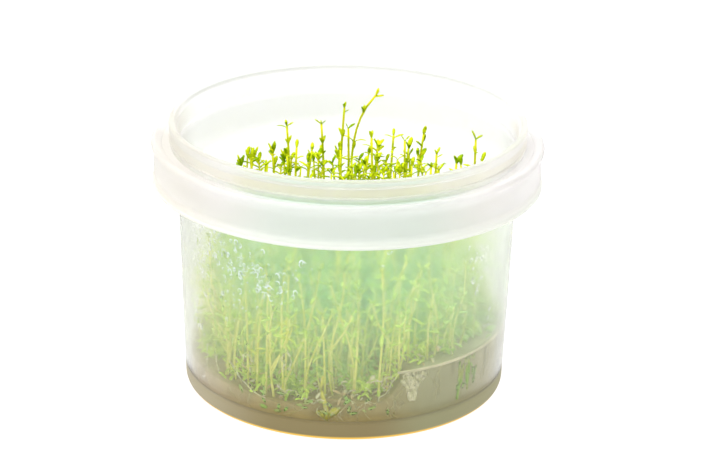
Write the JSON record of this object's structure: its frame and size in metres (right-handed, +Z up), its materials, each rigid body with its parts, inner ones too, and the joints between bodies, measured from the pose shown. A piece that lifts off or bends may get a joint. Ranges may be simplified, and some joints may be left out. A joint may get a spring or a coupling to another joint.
{
  "type": "tissue culture microcarpaea minima",
  "caption": "Open translucent tub with a flanged snap lip, holding fine upright aquarium plant shoots with small paired leaves, rooted in a plug of agar gel.",
  "frame": {"origin": "middle of the tub's foot, on the surface it stands on", "axes": "+Z up through the open mouth; -Y towards the front, where a short shoot is sunk against the wall; +X to the side where the gel is deep"},
  "size_m": [0.1, 0.1, 0.071],
  "materials": {
    "frosted_plastic": "translucent frosted polypropylene, satin, with condensation inside",
    "agar": "cloudy olive-brown gel, wet",
    "shoots": "soft bright green leaf and stem, slightly shiny"
  },
  "bodies": {
    "root": {"tub": "frosted_plastic", "agar_gel": "agar", "sunken_shoot": "shoots", "shoot_01": "shoots", "shoot_02": "shoots", "shoot_03": "shoots", "shoot_04": "shoots", "shoot_05": "shoots", "shoot_06": "shoots", "shoot_07": "shoots", "shoot_08": "shoots", "shoot_09": "shoots", "shoot_10": "shoots", "shoot_11": "shoots", "shoot_12": "shoots", "shoot_13": "shoots", "shoot_14": "shoots", "shoot_15": "shoots", "shoot_16": "shoots", "shoot_17": "shoots", "shoot_18": "shoots", "shoot_19": "shoots", "shoot_20": "shoots", "shoot_21": "shoots", "shoot_22": "shoots", "shoot_23": "shoots", "shoot_24": "shoots", "shoot_25": "shoots", "shoot_26": "shoots", "shoot_27": "shoots", "shoot_28": "shoots", "shoot_29": "shoots", "shoot_30": "shoots", "shoot_31": "shoots", "shoot_32": "shoots", "shoot_33": "shoots", "shoot_34": "shoots", "shoot_35": "shoots", "shoot_36": "shoots", "shoot_37": "shoots", "shoot_38": "shoots", "shoot_39": "shoots", "shoot_40": "shoots", "shoot_41": "shoots", "shoot_42": "shoots", "shoot_43": "shoots", "shoot_44": "shoots", "shoot_45": "shoots", "shoot_46": "shoots", "shoot_47": "shoots", "shoot_48": "shoots", "shoot_49": "shoots", "shoot_50": "shoots", "shoot_51": "shoots", "shoot_52": "shoots", "shoot_53": "shoots", "shoot_54": "shoots", "shoot_55": "shoots", "shoot_56": "shoots"}
  },
  "joints": []
}
